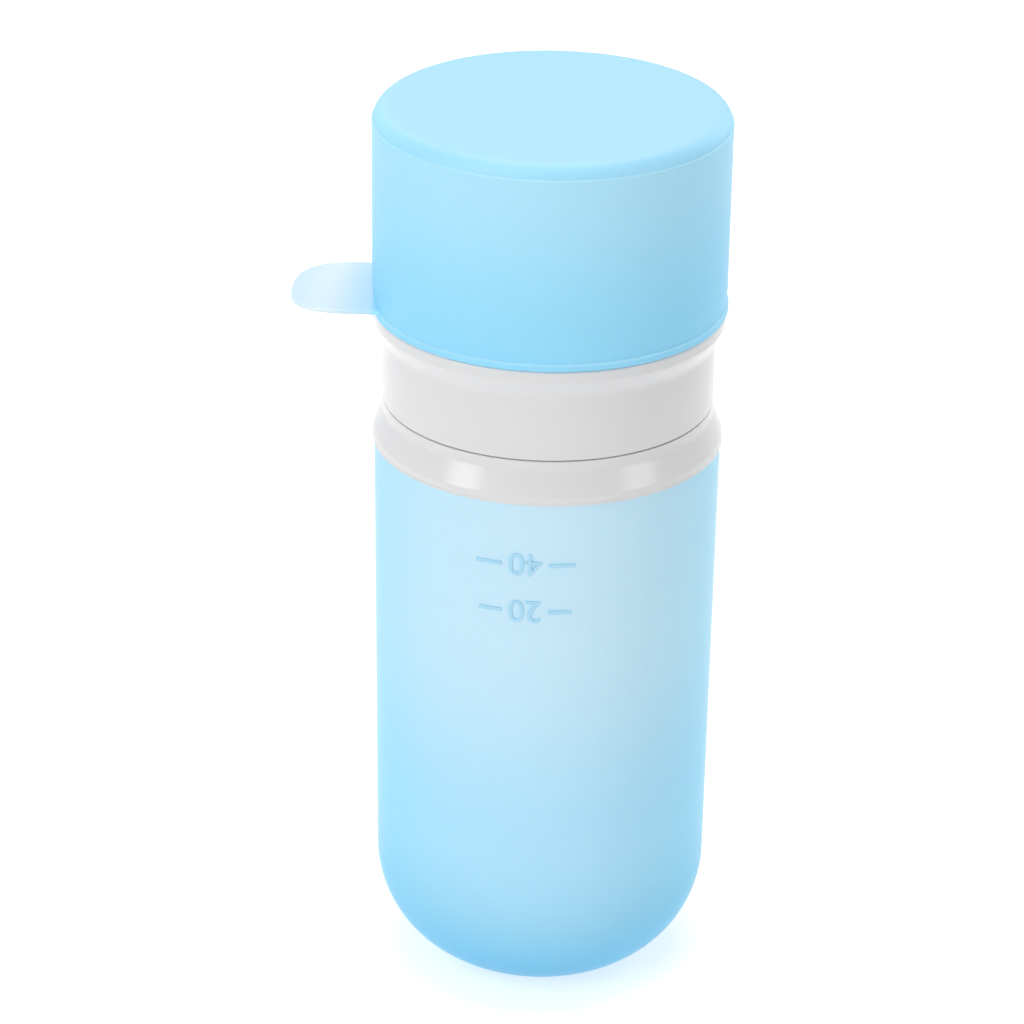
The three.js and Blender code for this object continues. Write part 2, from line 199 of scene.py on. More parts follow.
class BottleSizes(bpy.types.PropertyGroup):
    """Sizes of the finished surfaces"""
    facets: IntProperty(name="Facets", description="Facets round each turned piece", default=192, min=36)
    gap: size("Gap", "Space between neighbouring pieces", 0.3 * MM)
    fine_gap: size("Fine gap", "Space in the closed joints at the shoulder and under the cap", 0.05 * MM)
    parting: size("Parting", "Space in the parting line between the collar and the head", 0.12 * MM)
    body_wall: size("Body wall", "Thickness of the silicone body", 2 * MM)
    body_taper: size("Body taper", "Radius lost from the shoulder to the base", 0.35 * MM)
    base_wall: size("Base wall", "Thickness of the silicone base", 2.4 * MM)
    base_dish: size("Base dish", "How far the middle of the base is dished in", 0.6 * MM)
    base_ring: size("Base ring", "Inner radius of the ring that the body stands on", 4.8 * MM)
    base_round: size("Base rounding", "Rounding of the body's base", 13.5 * MM)
    mark_size: size("Mark size", "Height of a number on the body", 2.7 * MM)
    mark_width: size("Mark width", "Width of the upper row of marks", 11.2 * MM)
    mark_line: size("Mark line", "Thickness of a level line", 0.4 * MM)
    mark_relief: size("Mark relief", "Height of the marks over the body", 0.12 * MM)
    mark_high: size("Upper mark", "Height of the upper row of marks over the base", 59.7 * MM)
    mark_low: size("Lower mark", "Height of the lower row of marks over the base", 53.9 * MM)
    mark_shift: size("Mark shift", "How far the marks stand to the right of the front", -0.8 * MM)
    neck_radius: size("Neck radius", "Outside of the silicone neck", 16.8 * MM)
    neck_bore: size("Neck bore", "Inside of the silicone neck", 15 * MM)
    bead_height: size("Bead height", "Bead at the top of the silicone neck", 0.9 * MM)
    spout_radius: size("Spout radius", "Outside of the threaded spout", 15.5 * MM)
    spout_bore: size("Spout bore", "Inside of the threaded spout", 13.25 * MM)
    sleeve_radius: size("Sleeve radius", "Outside of the spout's sleeve in the neck", 14.8 * MM)
    flange_top: size("Flange top", "Drop from the collar's top to the spout's flange", 0.9 * MM)
    flange: size("Flange", "Thickness of the spout's flange", 1 * MM)
    collar_upright: size("Collar upright", "Height of the collar's upright edge under the head", 1.2 * MM)
    collar_slope: size("Collar slope", "Height of the slope under the collar's upright edge", 1.05 * MM)
    collar_step: size("Collar step", "How far that slope leads outwards", 0.43 * MM)
    collar_belt: size("Collar belt", "Height of the collar's widest line over its foot", 0.85 * MM)
    collar_foot: size("Collar foot", "Height of the fine bead along the collar's lower edge", 0.12 * MM)
    collar_nick: size("Collar nick", "Depth and half height of the groove over that bead", 0.12 * MM)
    collar_lip: size("Collar lip", "Thickness of the collar's inner lip", 0.7 * MM)
    collar_ledge: size("Collar ledge", "Thickness of the collar's inner ledge", 1.3 * MM)
    collar_catch: size("Collar catch", "How far the collar's lip covers the flange", 0.6 * MM)
    pitch: size("Thread pitch", "Rise of the thread in a turn", 4.2 * MM)
    thread_depth: size("Thread depth", "Height of a thread ridge over its wall", 0.85 * MM)
    thread_width: size("Thread width", "Width of a thread ridge at its wall", 1.5 * MM)
    band_radius: size("Band radius", "Outside of the head's plain band", 18.87 * MM)
    band_edge: size("Band edge", "Rounding at the band's lower edge", 0.18 * MM)
    head_height: size("Head height", "From the band's lower edge to the lip under the cap", 10.75 * MM)
    flare_height: size("Flare height", "Height of the flare under the lip", 2 * MM)
    lip_height: size("Lip height", "Height of the lip over the flare", 1.3 * MM)
    lip_edge: size("Lip edge", "Rounding at the lip's edge", 0.3 * MM)
    floor: size("Cup floor", "Thickness of the head's floor under the ball", 1.6 * MM)
    skirt_bore: size("Skirt bore", "Inside of the head's threaded skirt", 16.75 * MM)
    cup_bore: size("Cup bore", "Inside of the ball cup", 15.7 * MM)
    socket_play: size("Socket play", "Space round the ball in its socket", 0.25 * MM)
    feed_width: size("Feed slot width", "Width of a feed slot in the ball seat", 2 * MM)
    feed_depth: size("Feed slot depth", "Depth of a feed slot in the ball seat", 0.4 * MM)
    feed_slots: IntProperty(name="Feed slots", description="Feed slots in the ball seat", default=4, min=1)
    retainer_flange: size("Retainer flange", "Thickness of the ring over the cup's rim", 0.9 * MM)
    cap_radius: size("Cap radius", "Outside of the cap's plain side", 20 * MM)
    cap_wall: size("Cap wall", "Thickness of the cap's side", 2.4 * MM)
    cap_top_wall: size("Cap top wall", "Thickness of the cap's top", 2.2 * MM)
    cap_round: size("Cap rounding", "Rounding of the cap's top edge", 1.95 * MM)
    cap_shoulder: size("Cap shoulder", "Drop from the cap's top to the crease round it", 1.65 * MM)
    cap_bevel: size("Cap bevel", "Height of the fine bevels along the crease and over the rim", 0.15 * MM)
    cap_lean: angle("Cap lean", "Turn of the surface at the crease", 14)
    rim_height: size("Rim height", "Height of the lip round the cap's rim", 0.8 * MM)
    tab_low: size("Tab height", "Height of the pull tab's underside over the base", 83.55 * MM)
    tab_width: size("Tab width", "Width of the pull tab", 14.7 * MM)
    tab_round: size("Tab rounding", "Length of the tab's round end", 6.8 * MM)
    tab_root: size("Tab root", "Thickness of the pull tab at its root", 0.7 * MM)
    tab_tip: size("Tab tip", "Thickness of the pull tab at its tip", 0.4 * MM)
    tab_fillet: size("Tab fillet", "Rounding where the tab's sides meet the cap", 0.7 * MM)
    tab_droop: size("Tab droop", "Drop of the tab's tip", 0.1 * MM)


class BottleColours(bpy.types.PropertyGroup):
    """Colours of the finished surfaces, in linear light"""
    body: colour("Body", "Frosted body in its upper part", srgb(238, 244, 254))
    # The two lower body colours are partly painted shade: they darken the lower body and its base, where less
    # light reaches.
    shaded_body_low: colour("Body low", "Frosted body in its lower part", srgb(209, 237, 255))
    shaded_body_foot: colour("Body foot", "Frosted body at its base", srgb(151, 208, 238))
    # Painted light: the flat top of the cap is lighter than its side.
    cap_top: colour("Cap top", "Flat top of the cap", srgb(198, 237, 255))
    cap: colour("Cap", "Cap at the top of its side", srgb(189, 236, 255))
    # Painted shade: the foot of the cap's side is darker.
    shaded_cap_low: colour("Cap low", "Cap at the foot of its side", srgb(161, 226, 255))
    # Painted highlight: a bright line round the cap's rim.
    cap_rim_highlight: colour("Cap rim", "Fine line round the cap's rim", srgb(194, 238, 255))
    # Painted shade: darkens the cap's rounded corner.
    cap_ring_shade: colour("Cap ring", "Thick rounded corner of the cap", srgb(177, 230, 255))
    marks: colour("Marks", "Raised marks on the body", srgb(205, 229, 246))
    tab: colour("Tab", "Thin tab", srgb(227, 241, 248))
    # Painted shade: darkens the tab's round end.
    tab_tip: colour("Tab tip", "Round end of the tab", srgb(209, 232, 248))
    # Partly painted shade under the cap's edge, partly the thicker root.
    tab_root: colour("Tab root", "Tab where it leaves the cap", srgb(202, 236, 254))
    body_skin: colour("Body skin", "Tint of the body's clear skin", (0.72, 0.93, 0.993))
    cap_skin: colour("Cap skin", "Tint of the cap's clear skin", (0.86, 0.955, 0.995))
    plastic: colour("Plastic", "White moulded plastic", srgb(224, 224, 225))
    seal: colour("Seal", "Milky soft seals", srgb(226, 232, 236))
    ball: colour("Ball", "Roller ball", srgb(240, 240, 238))


class StageSettings(bpy.types.PropertyGroup):
    """Camera, light and floor"""
    azimuth: angle("Camera azimuth", "Turn of the camera round the bottle", 4)
    distance: size("Camera distance", "Level distance from the axis to the camera", 0.4)
    height: size("Camera height", "Height of the camera over the floor", 0.24695)
    tilt: angle("Camera tilt", "Downward tilt of the camera", 25.42)
    pan: angle("Camera pan", "Turn of the camera off the axis, to its left", 0.56)
    roll: angle("Camera roll", "Turn of the camera about its line of sight", 0.81)
    lens: FloatProperty(name="Lens", description="Focal length on a 36 mm sensor", default=134.55)
    world: FloatProperty(name="World light", description="Even light from all round", default=0.3)
    key: power("Key light", "Power of the large light at the left", 1.25)
    fill: power("Fill light", "Power of the light at the right", 0.72)
    front: power("Front light", "Power of the high light in front", 1.5)
    back_left: power("Back left", "Power of the light behind at the left", 0.65)
    back_right: power("Back right", "Power of the light behind at the right", 1.25)
    top: power("Top light", "Power of the light overhead", 2.6)
    floor: share("Floor grey", "Grey of the floor", 0.8)
    floor_lift: share("Floor lift", "White added to the floor where it is seen", 0.54)
    floor_glow: share("Floor glow", "White that the floor sends up to the bottle", 0.27)


def arc_steps(radius, turn):
    """How many chords make an arc look round."""
    return max(2, math.ceil(turn / ARC_STEP), math.ceil(turn * radius / ARC_CHORD))


def rounded(corners):
    """A section through [radius, height, rounding] corners, with an arc at each rounded one."""
    points = []
    count = len(corners)
    for i, (radius, height, rounding) in enumerate(corners):
        here = Vector((radius, height))
        if rounding <= 0 or i in (0, count - 1):
            points.append(here)
            continue
        back = Vector(corners[i - 1][:2]) - here
        ahead = Vector(corners[i + 1][:2]) - here
        half = back.angle(ahead) / 2
        run = min(rounding / math.tan(half), back.length * CORNER_REACH, ahead.length * CORNER_REACH)
        size_of_arc = run * math.tan(half)
        centre = here + (back.normalized() + ahead.normalized()).normalized() * (run / math.cos(half))
        start = here + back.normalized() * run - centre
        turn = math.pi - 2 * half
        side = 1 if back.cross(ahead) < 0 else -1
        steps = arc_steps(size_of_arc, turn)
        for step in range(steps + 1):
            bend = side * turn * step / steps
            cosine, sine = math.cos(bend), math.sin(bend)
            spoke = Vector((start.x * cosine - start.y * sine, start.x * sine + start.y * cosine))
            points.append(centre + spoke.normalized() * size_of_arc)
    return points


def eased(points, spacing=1.2 * MM, margin=0.12 * MM):
    """Adds points along each long straight run and close to its ends, which keep its shading flat."""
    fine = [points[0]]
    for here, there in zip(points, points[1:]):
        run = there - here
        if run.length > 4 * margin:
            parts = max(1, math.ceil(run.length / spacing))
            shares = [step / parts for step in range(1, parts)]
            shares += [margin / run.length, 1 - margin / run.length]
            fine += [here + run * part for part in sorted(shares)]
        fine.append(there)
    return fine


def arc(centre_height, radius, start, end):
    """Corners along an arc about a point on the axis, between two angles over the horizon."""
    steps = arc_steps(radius, abs(end - start))
    turns = [start + (end - start) * step / steps for step in range(steps + 1)]
    return [(radius * math.cos(turn), centre_height + radius * math.sin(turn), 0) for turn in turns]


def new_piece(name, vertices, faces, material, slot, body, *nodes):
    """Makes a smooth mesh piece, ties it to its body and hides the nodes that it stands for."""
    mesh = bpy.data.meshes.new(name)
    mesh.from_pydata(vertices, [], faces)
    mesh.validate()
    mesh.polygons.foreach_set("use_smooth", [True] * len(mesh.polygons))
    mesh.set_sharp_from_angle(angle=SHARP_ANGLE)
    mesh.materials.append(material)
    piece = bpy.data.objects.new(name, mesh)
    bpy.context.scene.collection.objects.link(piece)
    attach(piece, body)
    if nodes:
        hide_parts(*nodes)


def revolve(points, facets, shift=None):
    """Vertices and faces of a section turned about Z.

    The section runs counter-clockwise, and closes on itself unless it starts and ends on the axis.
    shift(angle, radius, height) moves a point outwards.
    """
    on_axis = points[0].x < ONE_POINT
    repeated = not on_axis and (points[0] - points[-1]).length < ONE_POINT
    loop = points[:-1] if repeated else points
    vertices = []
    rings = []
    for point in loop:
        if point.x < ONE_POINT:
            rings.append([len(vertices)] * facets)
            vertices.append((0, 0, point.y))
            continue
        rings.append(range(len(vertices), len(vertices) + facets))
        for step in range(facets):
            turn = 2 * math.pi * step / facets
            radius = point.x + (shift(turn, point.x, point.y) if shift else 0)
            vertices.append((radius * math.cos(turn), radius * math.sin(turn), point.y))
    pairs = list(zip(rings, rings[1:]))
    if not on_axis:
        pairs.append((rings[-1], rings[0]))
    faces = []
    for low, high in pairs:
        for step in range(facets):
            after = (step + 1) % facets
            corners = (low[step], low[after], high[after], high[step])
            faces.append(tuple(dict.fromkeys(corners)))
    return vertices, faces


def turned(name, corners, material, slot, body, *nodes, shift=None):
    """A turned piece from the corners of its section."""
    facets = bpy.context.scene.bottle_sizes.facets
    closed = corners if corners[0][0] < ONE_POINT else corners + corners[:1]
    vertices, faces = revolve(eased(rounded(closed)), facets, shift)
    new_piece(name, vertices, faces, material, slot, body, *nodes)


def shader(name):
    """A new node material with its Principled shader."""
    material = bpy.data.materials.new(name)
    material.use_nodes = True
    return material, material.node_tree.nodes["Principled BSDF"]


def node(material, kind, **settings):
    """A new node, with values for its own settings or its sockets."""
    made = material.node_tree.nodes.new(kind)
    for key, value in settings.items():
        if hasattr(made, key):
            setattr(made, key, value)
        else:
            made.inputs[key].default_value = value
    return made


def link(material, start, end):
    """Joins an output to an input."""
    material.node_tree.links.new(start, end)


def stretched(material, value, low, high):
    """A value of 0 to 1, stretched to run from low to high."""
    stretch = node(material, "ShaderNodeMapRange")
    stretch.inputs["To Min"].default_value = low
    stretch.inputs["To Max"].default_value = high
    link(material, value, stretch.inputs["Value"])
    return stretch.outputs["Result"]


def grain(material, principled, scale, strength, distance, roughness):
    """Fine moulded texture: a noise that bumps the surface and varies its gloss. Returns its place node."""
    place = node(material, "ShaderNodeTexCoord")
    noise = node(material, "ShaderNodeTexNoise", Scale=scale, Detail=3.0)
    link(material, place.outputs["Object"], noise.inputs["Vector"])
    bump = node(material, "ShaderNodeBump", Strength=strength, Distance=distance)
    link(material, noise.outputs["Fac"], bump.inputs["Height"])
    link(material, bump.outputs["Normal"], principled.inputs["Normal"])
    gloss = stretched(material, noise.outputs["Fac"], *roughness)
    link(material, gloss, principled.inputs["Roughness"])
    return place


def blend_along(material, place, principled, axis, stops):
    """Colours along an axis of the bottle: stops are (place on the axis, colour) pairs, in rising order."""
    split = node(material, "ShaderNodeSeparateXYZ")
    link(material, place.outputs["Object"], split.inputs["Vector"])
    low, high = stops[0][0], stops[-1][0]
    span = node(material, "ShaderNodeMapRange")
    span.inputs["From Min"].default_value = low
    span.inputs["From Max"].default_value = high
    link(material, split.outputs[axis], span.inputs["Value"])
    ramp = node(material, "ShaderNodeValToRGB")
    ramp.color_ramp.interpolation = "EASE"
    for i, (spot, tint) in enumerate(stops):
        at = (spot - low) / (high - low)
        # A new ramp has two stops already.
        stop = ramp.color_ramp.elements[i] if i < 2 else ramp.color_ramp.elements.new(at)
        stop.position = at
        stop.color = (*tint, 1)
    link(material, span.outputs["Result"], ramp.inputs["Fac"])
    link(material, ramp.outputs["Color"], principled.inputs["Base Color"])


def silicone(name, skin, skin_roughness, axis, stops, roughness):
    """Frosted silicone: a little light spreads under its skin, and the skin's own tint deepens its colour."""
    material, principled = shader(name)
    principled.inputs["Subsurface Weight"].default_value = 0.15
    principled.inputs["Subsurface Radius"].default_value = (1.0, 0.5, 0.25)
    principled.inputs["Subsurface Scale"].default_value = 0.4 * MM
    principled.inputs["IOR"].default_value = 1.52
    principled.inputs["Coat Weight"].default_value = 1
    principled.inputs["Coat IOR"].default_value = 1.1
    principled.inputs["Coat Roughness"].default_value = skin_roughness
    principled.inputs["Coat Tint"].default_value = (*skin, 1)
    principled.inputs["Sheen Weight"].default_value = 0.12
    principled.inputs["Sheen Roughness"].default_value = 0.25
    place = grain(material, principled, scale=4200, strength=0.05, distance=0.05 * MM, roughness=roughness)
    blend_along(material, place, principled, axis, [(spot, tuple(tint)) for spot, tint in stops])
    return material


def body_silicone(colours):
    """Frosted body, darker and bluer towards the base: partly the silicone's deeper colour where it is thick,
    partly painted shade where less light reaches the lower body.
    """
    stops = [
        # Partly painted shade: darker towards the base.
        (0, colours.shaded_body_foot),
        (BODY_LOW_HEIGHT, colours.shaded_body_low),
        (BODY_PALE_HEIGHT, colours.body),
    ]
    return silicone("frosted_body_silicone", colours.body_skin, FROSTED_SKIN, "Z", stops, FROSTED)


def cap_silicone(colours):
    """Satin cap: painted shade darkens it towards its rim and in its rounded corner, painted light lightens
    its flat top, and a painted highlight runs along the bead over its rim.
    """
    s = bpy.context.scene.bottle_sizes
    crease = CAP_HIGH.z - s.cap_shoulder
    bead = head_lip(s) + s.fine_gap + s.rim_height
    stops = [
        # Painted shade: darker towards the rim.
        (CAP_LOW.z, colours.shaded_cap_low),
        (bead - s.cap_bevel, colours.shaded_cap_low),
        # Painted highlight: a bright line along the bead over the rim.
        (bead, colours.cap_rim_highlight),
        (bead + s.cap_bevel, colours.shaded_cap_low),
        (crease + s.cap_bevel / 2, colours.cap),
        # Painted shade: the rounded corner above the crease is darker.
        (crease + s.cap_bevel, colours.cap_ring_shade),
        (CAP_HIGH.z - CAP_TOP_FADE, colours.cap_ring_shade),
        # Painted light: lighter on the flat top.
        (CAP_HIGH.z, colours.cap_top),
    ]
    return silicone("satin_cap_silicone", colours.cap_skin, SATIN_SKIN, "Z", stops, SATIN)


def tab_silicone(colours):
    """The cap's silicone where it is thin and pale; darker at its root, partly thicker silicone and partly
    painted shade under the cap's edge, and darker at its round end, painted shade.
    """
    root = -bpy.context.scene.bottle_sizes.cap_radius
    stops = [
        # Painted shade at the round end and at the root.
        (CAP_LOW.x, colours.tab_tip),
        (root - TAB_PALE_REACH, colours.tab),
        (root, colours.tab_root),
        (root + TAB_ROOT_DEPTH, colours.shaded_cap_low),
    ]
    return silicone("thin_tab_silicone", (1, 1, 1), SATIN_SKIN, "X", stops, SATIN)


def mark_silicone(colours):
    """The body's silicone where it is raised into marks."""
    stops = [(0, colours.marks), (BODY_HIGH.z, colours.marks)]
    return silicone("raised_mark_silicone", colours.body_skin, FROSTED_SKIN, "Z", stops, FROSTED)


def white_plastic(colours):
    """Satin moulded plastic."""
    material, principled = shader("satin_white_plastic")
    principled.inputs["Base Color"].default_value = (*colours.plastic, 1)
    principled.inputs["IOR"].default_value = 1.49
    grain(material, principled, scale=3000, strength=0.03, distance=0.04 * MM, roughness=MOULDED)
    return material


def seal_silicone(colours):
    """Milky soft silicone of the seals."""
    material, principled = shader("milky_seal_silicone")
    principled.inputs["Base Color"].default_value = (*colours.seal, 1)
    principled.inputs["IOR"].default_value = 1.41
    grain(material, principled, scale=3600, strength=0.06, distance=0.05 * MM, roughness=MILKY)
    return material


def ball_plastic(colours):
    """Polished plastic of the ball."""
    material, principled = shader("polished_ball_plastic")
    principled.inputs["Base Color"].default_value = (*colours.ball, 1)
    principled.inputs["IOR"].default_value = 1.5
    grain(material, principled, scale=1800, strength=0.01, distance=0.02 * MM, roughness=POLISHED)
    return material


FINISHES = {
    "body_silicone": body_silicone,
    "mark_silicone": mark_silicone,
    "cap_silicone": cap_silicone,
    "tab_silicone": tab_silicone,
    "white_plastic": white_plastic,
    "seal_silicone": seal_silicone,
    "ball_plastic": ball_plastic,
}
FINISH_CACHE = {}


def finish(name):
    """The material of that finish, made once."""
    if name not in FINISH_CACHE:
        FINISH_CACHE[name] = FINISHES[name](bpy.context.scene.bottle_colours)
    return FINISH_CACHE[name]


def thread_shift(wall, start, turns, outwards):
    """Moves points of a wall out or in where a thread ridge climbs round it. The ridge fades at both ends."""
    s = bpy.context.scene.bottle_sizes

    def shift(turn, radius, height):
        if abs(radius - wall) > SAME_WALL:
            return 0
        best = 0
        for lap in range(math.ceil(turns)):
            along = turn / (2 * math.pi) + lap
            if not 0 <= along <= turns:
                continue
            off = abs(height - start - s.pitch * along) / (s.thread_width / 2)
            ridge = max(0, min(1, (1 - off) * THREAD_STEEPNESS))
            ends = max(0, min(1, along / THREAD_FADE, (turns - along) / THREAD_FADE))
            best = max(best, ridge * ends)
        return best * s.thread_depth * (1 if outwards else -1)
    return shift


def wall_run(radius, low, high):
    """Corners up or down a wall that carries a thread."""
    count = math.ceil(abs(high - low) / THREAD_ROW)
    return [(radius, low + (high - low) * i / count, 0) for i in range(1, count)]


def shoulder_height(s):
    """Height of the body's shoulder, under the collar."""
    return COLLAR_LOW.z - s.gap


def collar_span(s):
    """Heights of the collar's foot, which sits close on the shoulder, and of its top."""
    low = shoulder_height(s) + s.fine_gap
    return low, COLLAR_HIGH.z - 2 * s.fine_gap


def head_lip(s):
    """Height of the head's lip, on which the cap sits."""
    return HEAD_LOW.z + s.head_height


def ball_place():
    """The ball's centre height and radius."""
    return (BALL_LOW.z + BALL_HIGH.z) / 2, (BALL_HIGH.z - BALL_LOW.z) / 2


class BOTTLE_OT_body(bpy.types.Operator):
    """Make the frosted squeeze body"""
    bl_idname = "bottle.body"
    bl_label = "Squeeze body"

    def execute(self, context):
        s = context.scene.bottle_sizes
        top = shoulder_height(s)
        low_radius = BODY_HIGH.x - s.body_taper
        inside = BODY_HIGH.x - s.body_wall
        corners = [
            (0, s.base_dish, 0),
            (s.base_ring - 2 * s.base_dish, s.base_dish, SWEPT),
            (s.base_ring, 0, BLUNT),
            (low_radius, 0, s.base_round),
            (BODY_HIGH.x, top, CRISP),
            (s.neck_radius, top, SMOOTH),
            (s.neck_radius, BODY_HIGH.z - s.bead_height, FINE),
            (INSERT_HIGH.x, BODY_HIGH.z - s.bead_height, BEADED),
            (INSERT_HIGH.x, BODY_HIGH.z, BEADED),
            (s.neck_bore, BODY_HIGH.z, BEADED),
            (s.neck_bore, top - s.body_wall, BLUNT),
            (inside, top - s.body_wall, SWEPT),
            (low_radius - s.body_wall, s.base_wall, s.base_round - s.body_wall),
            (0, s.base_wall, 0),
        ]
        turned("squeeze_body", corners, finish("body_silicone"), "body_silicone", "bottle", "bottle_body")
        return {"FINISHED"}


class BOTTLE_OT_marks(bpy.types.Operator):
    """Make the raised level marks on the body: plain numbers between short lines, read from the cap's end"""
    bl_idname = "bottle.marks"
    bl_label = "Level marks"

    def execute(self, context):
        s = context.scene.bottle_sizes
        vertices = []
        faces = []
        rows = (
            ("40", s.mark_high, s.mark_width),
            ("20", s.mark_low, s.mark_width * LOWER_ROW),
        )
        for number, height, width in rows:
            inner = self.number(context, s, number, height, vertices, faces)
            for side in (-1, 1):
                ends = side * (inner + s.mark_size * NUMBER_SPACE), side * width / 2
                self.line(s, min(ends), max(ends), height, vertices, faces)
        new_piece("level_marks", vertices, faces, finish("mark_silicone"), "body_silicone", "bottle")
        return {"FINISHED"}

    def place(self, s, along, height, proud):
        """A point on the body's front, so far along it from the marks' middle."""
        share_of_taper = 1 - height / shoulder_height(s)
        radius = BODY_HIGH.x - s.body_taper * share_of_taper + proud
        turn = (s.mark_shift - along) / BODY_HIGH.x
        return radius * math.sin(turn), -radius * math.cos(turn), height

    def number(self, context, s, number, height, vertices, faces):
        """Adds the number's solid strokes, and returns half of its width."""
        curve = bpy.data.curves.new("mark_number", "FONT")
        curve.body = number
        curve.size = s.mark_size
        curve.extrude = s.mark_relief
        holder = bpy.data.objects.new("mark_number", curve)
        context.scene.collection.objects.link(holder)
        graph = context.evaluated_depsgraph_get()
        shape = holder.evaluated_get(graph).to_mesh()
        points = [vertex.co.copy() for vertex in shape.vertices]
        first = len(vertices)
        faces += [tuple(first + i for i in face.vertices) for face in shape.polygons]
        bpy.data.objects.remove(holder)
        bpy.data.curves.remove(curve)
        left = min(point.x for point in points)
        right = max(point.x for point in points)
        low = min(point.y for point in points)
        high = max(point.y for point in points)
        scale = s.mark_size / (high - low)
        for point in points:
            along = (point.x - (left + right) / 2) * scale
            up = ((low + high) / 2 - point.y) * scale
            vertices.append(self.place(s, along, height + up, point.z))
        return (right - left) / 2 * scale

    def line(self, s, start, end, height, vertices, faces):
        """Adds one level line, bent round the body."""
        parts = 12
        half = s.mark_line / 2
        corners = ((-half, -1), (half, -1), (half, 1), (-half, 1))
        rows = []
        for step in range(parts + 1):
            along = start + (end - start) * step / parts
            rows.append(range(len(vertices), len(vertices) + len(corners)))
            vertices += [self.place(s, along, height + up, side * s.mark_relief) for up, side in corners]
        for low, high in zip(rows, rows[1:]):
            for i in range(len(corners)):
                after = (i + 1) % len(corners)
                faces.append((low[i], low[after], high[after], high[i]))
        faces.append(tuple(reversed(rows[0])))
        faces.append(tuple(rows[-1]))


class BOTTLE_OT_neck(bpy.types.Operator):
    """Make the threaded spout and the white collar round the neck"""
    bl_idname = "bottle.neck"
    bl_label = "Neck"

    def execute(self, context):
        s = context.scene.bottle_sizes
        self.spout(s)
        self.collar(s)
        return {"FINISHED"}

    def spout(self, s):
        """The rigid spout: a sleeve in the neck, a flange on it and a threaded wall over that."""
        low, top = INSERT_LOW.z, INSERT_HIGH.z
        flange_top = COLLAR_HIGH.z - s.flange_top
        flange_low = flange_top - s.flange
        edge = 0.4 * MM
        corners = [
            (s.spout_bore, low, PLAIN),
            (s.sleeve_radius, low, PLAIN),
            (s.sleeve_radius, flange_low, NEAT),
            (INSERT_HIGH.x, flange_low, NEAT),
            (INSERT_HIGH.x, flange_top, PLAIN),
            (s.spout_radius, flange_top, 0),
            *wall_run(s.spout_radius, flange_top, top - edge),
            (s.spout_radius, top - edge, 0),
            (s.spout_radius - edge, top, NEAT),
            (s.spout_bore, top, PLAIN),
        ]
        ridge_low = HEAD_LOW.z + s.thread_width + SPOUT_RUN_OUT
        turns = (top - SPOUT_RUN_OUT - ridge_low) / s.pitch
        shift = thread_shift(s.spout_radius, ridge_low, turns, True)
        turned("threaded_spout", corners, finish("white_plastic"), "white_plastic", "bottle",
               "neck_insert", shift=shift)

    def collar(self, s):
        """The ring round the neck: a belt, a slope up to the band's width, and a recess for the flange."""
        low, top = collar_span(s)
        play = 0.2 * MM
        bore = s.neck_radius + play
        catch = COLLAR_HIGH.z - s.collar_lip
        recess = INSERT_HIGH.x + play
        lip = INSERT_HIGH.x - s.collar_catch
        upright = top - s.collar_upright
        corners = [
            (bore, low, PLAIN),
            (COLLAR_HIGH.x, low, CRISP),
            (COLLAR_HIGH.x, low + s.collar_foot, CRISP),
            (COLLAR_HIGH.x - s.collar_nick, low + s.collar_foot + s.collar_nick, FINE),
            (COLLAR_HIGH.x, low + s.collar_belt, BELT_ROUND),
            (s.band_radius + s.collar_step, upright - s.collar_slope, BLUNT),
            (s.band_radius, upright, WIDE),
            (s.band_radius, top, COLLAR_EDGE),
            (lip, top, PLAIN),
            (lip, catch, FINE),
            (recess, catch, FINE),
            (recess, low + s.collar_ledge, FINE),
            (bore, low + s.collar_ledge, PLAIN),
        ]
        turned("neck_ring", corners, finish("white_plastic"), "white_plastic", "bottle", "neck_collar")


